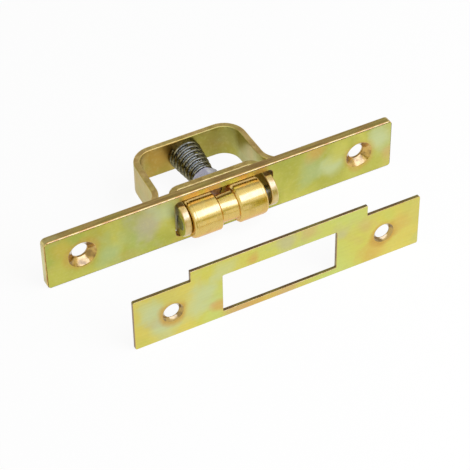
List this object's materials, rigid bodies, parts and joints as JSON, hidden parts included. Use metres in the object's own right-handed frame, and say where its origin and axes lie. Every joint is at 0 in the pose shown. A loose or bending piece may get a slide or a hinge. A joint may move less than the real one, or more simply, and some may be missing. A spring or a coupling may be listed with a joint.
{
  "type": "roller catch",
  "caption": "Mortice roller catch: flat forend with a strip cage behind it, a sprung waisted brass roller in a U-shaped carrier, an adjusting screw, and a lipped strike plate.",
  "frame": {"origin": "middle of the forend's back face, which beds on the door, midway between its two fixing screws", "axes": "+X along the forend, +Y into the door behind the forend, -Y out towards the roller and the strike plate, +Z across the forend's width, upwards as it stands on its long edges"},
  "size_m": [0.125, 0.0702, 0.0235],
  "materials": {
    "passivated_plate": "zinc plated and yellow passivated, with a satin sheen and cloudy tints",
    "passivated_strip": "zinc plated and yellow passivated bent strip, satin",
    "roller_brass": "turned and polished",
    "axle_steel": "plated, ends riveted over",
    "bright_zinc": "bright zinc plated",
    "spring_wire": "dark oiled spring steel"
  },
  "bodies": {
    "case": {"forend": "passivated_plate", "cage": "passivated_strip", "spring": "spring_wire", "strike_plate": "passivated_plate"},
    "carrier": {"carrier": "passivated_strip", "axle": "axle_steel", "screw_nut": "bright_zinc"},
    "roller": {"roller": "roller_brass"},
    "adjusting_screw": {"adjusting_screw": "bright_zinc"}
  },
  "joints": [
    {"name": "carrier_slide", "type": "slide", "parent": "case", "child": "carrier", "axis": [0, 1, 0], "range_m": [0, 0.0052], "stiffness_N_per_m": 3600, "springref_m": -0.004, "deforming": ["spring"]},
    {"name": "roller_spin", "type": "hinge", "parent": "carrier", "child": "roller", "pos_m": [-0.00097, -0.0046, 0], "axis": [1, 0, 0], "continuous": true},
    {"name": "screw_turn", "type": "hinge", "parent": "carrier", "child": "adjusting_screw", "pos_m": [0, 0.0278, 0], "axis": [0, -1, 0], "range_deg": [-1440, 1080]}
  ]
}
